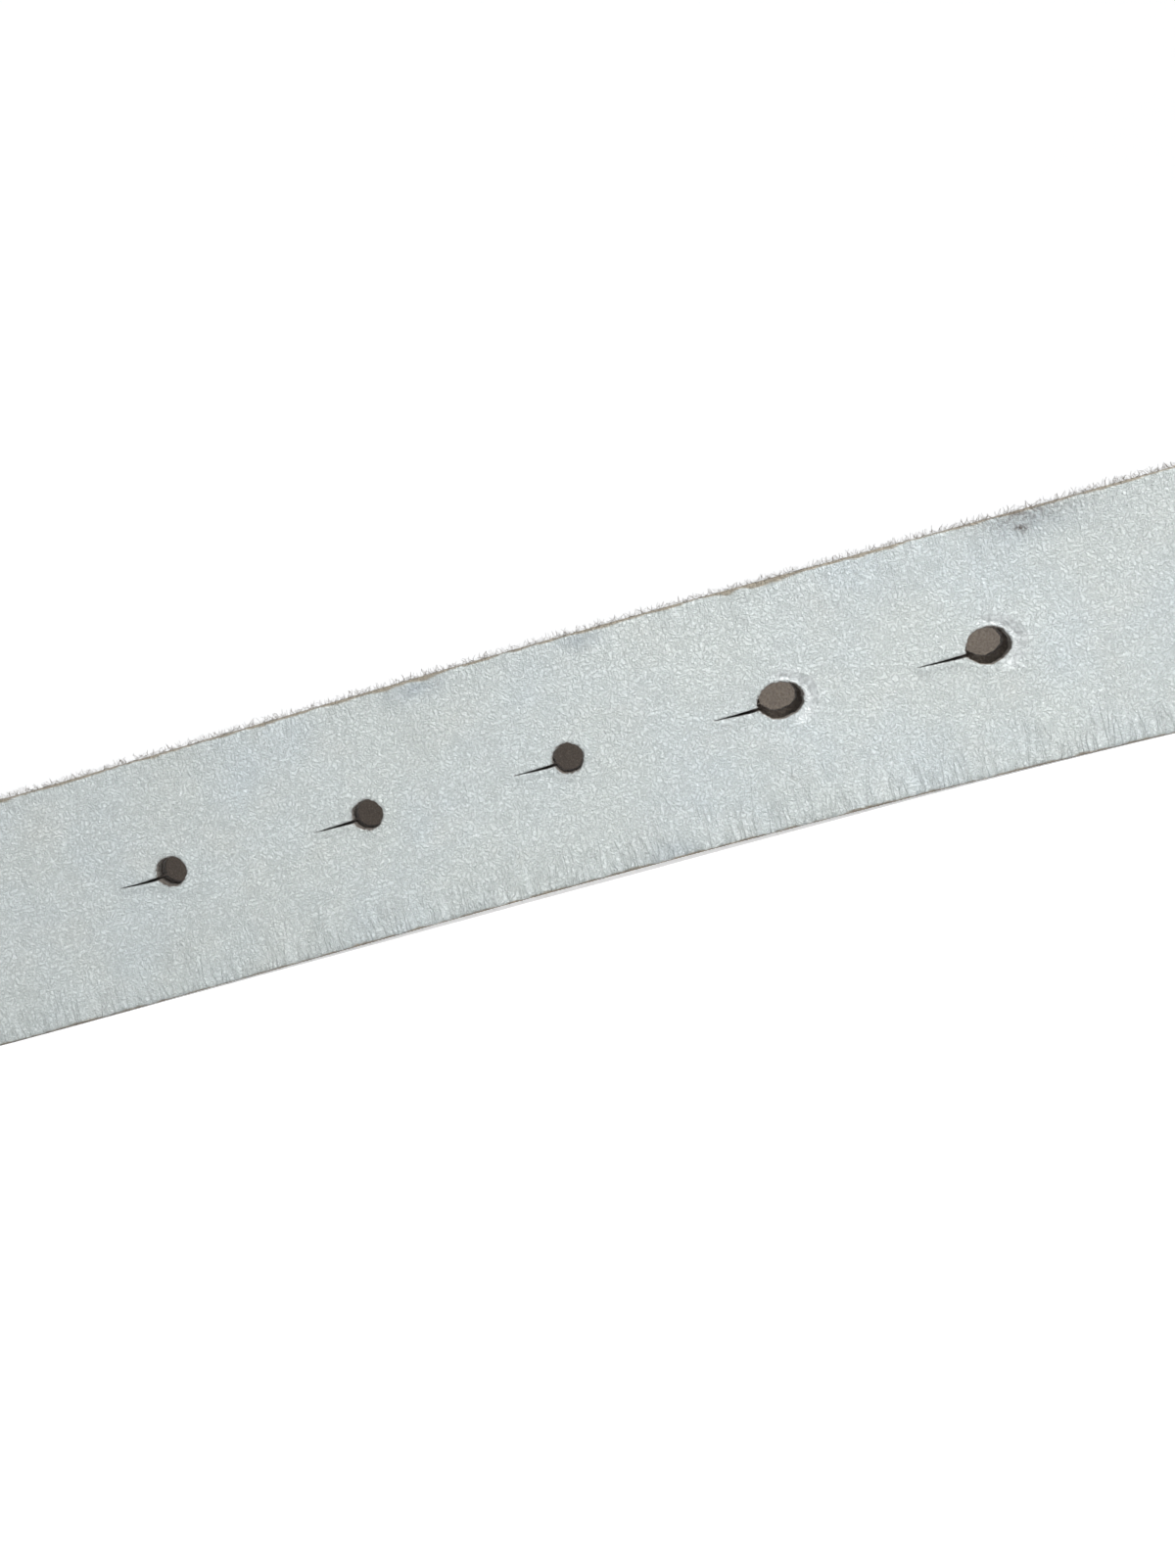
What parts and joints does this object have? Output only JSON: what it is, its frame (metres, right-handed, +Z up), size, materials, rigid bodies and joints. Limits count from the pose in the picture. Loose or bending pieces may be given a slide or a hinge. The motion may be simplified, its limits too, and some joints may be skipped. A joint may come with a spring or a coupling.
{
  "type": "leather strap belt",
  "caption": "Pearl-white leather strap belt with a row of slit keyholes and a hinged plate buckle, standing on its edge in an open loop.",
  "frame": {"origin": "on the strap's lower edge under the middle keyhole, in the middle of the face leather's thickness", "axes": "+X along the front stretch towards the pointed end, +Y from the front stretch into the loop, +Z up across the strap"},
  "size_m": [0.4467, 0.1922, 0.0384],
  "materials": {
    "pearl_leather": "pearlescent coated, creased, satin",
    "lining_leather": "raw split leather, matt",
    "buckle_metal": "brushed nickel, satin",
    "bright_steel": "satin"
  },
  "bodies": {
    "hole_stretch": {"face_leather_holes": "pearl_leather", "lining_leather_holes": "lining_leather"},
    "tip_1": {"face_leather_tip_1": "pearl_leather", "lining_leather_tip_1": "lining_leather"},
    "tip_2": {"face_leather_tip_2": "pearl_leather", "lining_leather_tip_2": "lining_leather"},
    "loop_1": {"face_leather_1": "pearl_leather", "lining_leather_1": "lining_leather"},
    "loop_2": {"face_leather_2": "pearl_leather", "lining_leather_2": "lining_leather"},
    "loop_3": {"face_leather_3": "pearl_leather", "lining_leather_3": "lining_leather"},
    "loop_4": {"face_leather_4": "pearl_leather", "lining_leather_4": "lining_leather"},
    "loop_5": {"face_leather_5": "pearl_leather", "lining_leather_5": "lining_leather"},
    "loop_6": {"face_leather_6": "pearl_leather", "lining_leather_6": "lining_leather"},
    "loop_7": {"face_leather_7": "pearl_leather", "lining_leather_7": "lining_leather"},
    "loop_8": {"face_leather_8": "pearl_leather", "lining_leather_8": "lining_leather"},
    "loop_9": {"face_leather_9": "pearl_leather", "lining_leather_9": "lining_leather"},
    "loop_10": {"face_leather_10": "pearl_leather", "lining_leather_10": "lining_leather"},
    "strap_end": {"face_leather_fold": "pearl_leather", "lining_leather_end": "lining_leather", "screw_posts": "bright_steel", "screw_heads": "bright_steel"},
    "keeper": {"keeper_loop": "pearl_leather", "keeper_staple": "bright_steel"},
    "buckle": {"buckle_plate": "buckle_metal", "hinge_bar": "bright_steel", "hook_stud": "bright_steel"}
  },
  "joints": [
    {"name": "loop_flex_1", "type": "hinge", "parent": "hole_stretch", "child": "loop_1", "pos_m": [-0.092, -0.001, 0], "axis": [0, 0, 1], "range_deg": [-2, 35]},
    {"name": "loop_flex_2", "type": "hinge", "parent": "loop_1", "child": "loop_2", "pos_m": [-0.1443, 0.03562, 0], "axis": [0, 0, 1], "range_deg": [-2, 69]},
    {"name": "loop_flex_3", "type": "hinge", "parent": "loop_2", "child": "loop_3", "pos_m": [-0.1288, 0.0978, 0], "axis": [0, 0, 1], "range_deg": [-2, 46]},
    {"name": "loop_flex_4", "type": "hinge", "parent": "loop_3", "child": "loop_4", "pos_m": [-0.07034, 0.13155, 0], "axis": [0, 0, 1], "range_deg": [-2, 16]},
    {"name": "loop_flex_5", "type": "hinge", "parent": "loop_4", "child": "loop_5", "pos_m": [-0.00441, 0.14799, 0], "axis": [0, 0, 1], "range_deg": [-2, 7.5]},
    {"name": "loop_flex_6", "type": "hinge", "parent": "loop_5", "child": "loop_6", "pos_m": [0.06311, 0.15568, 0], "axis": [0, 0, 1], "range_deg": [-2, 7]},
    {"name": "loop_flex_7", "type": "hinge", "parent": "loop_6", "child": "loop_7", "pos_m": [0.13106, 0.15509, 0], "axis": [0, 0, 1], "range_deg": [-2, 7.5]},
    {"name": "loop_flex_8", "type": "hinge", "parent": "loop_7", "child": "loop_8", "pos_m": [0.19835, 0.14563, 0], "axis": [0, 0, 1], "range_deg": [-2, 12]},
    {"name": "loop_flex_9", "type": "hinge", "parent": "loop_8", "child": "loop_9", "pos_m": [0.26204, 0.12245, 0], "axis": [0, 0, 1], "range_deg": [-2, 36]},
    {"name": "loop_flex_10", "type": "hinge", "parent": "loop_9", "child": "loop_10", "pos_m": [0.29857, 0.06829, 0], "axis": [0, 0, 1], "range_deg": [-2, 65]},
    {"name": "loop_flex_11", "type": "hinge", "parent": "loop_10", "child": "strap_end", "pos_m": [0.26593, 0.01397, 0], "axis": [0, 0, 1], "range_deg": [-2, 37]},
    {"name": "tip_flex_1", "type": "hinge", "parent": "hole_stretch", "child": "tip_1", "pos_m": [0.076, -0.001, 0], "axis": [0, 0, 1], "range_deg": [-12, 10]},
    {"name": "tip_flex_2", "type": "hinge", "parent": "tip_1", "child": "tip_2", "pos_m": [0.10792, -0.00295, 0], "axis": [0, 0, 1], "range_deg": [-12, 10]},
    {"name": "buckle_swing", "type": "hinge", "parent": "strap_end", "child": "buckle", "pos_m": [0.19207, -0.01145, 0.0192], "axis": [0, 0, 1], "range_deg": [-15, 35]},
    {"name": "keeper_slide", "type": "slide", "parent": "strap_end", "child": "keeper", "axis": [-0.9272, -0.3746, 0], "range_m": [-0.009, 0.007]}
  ]
}
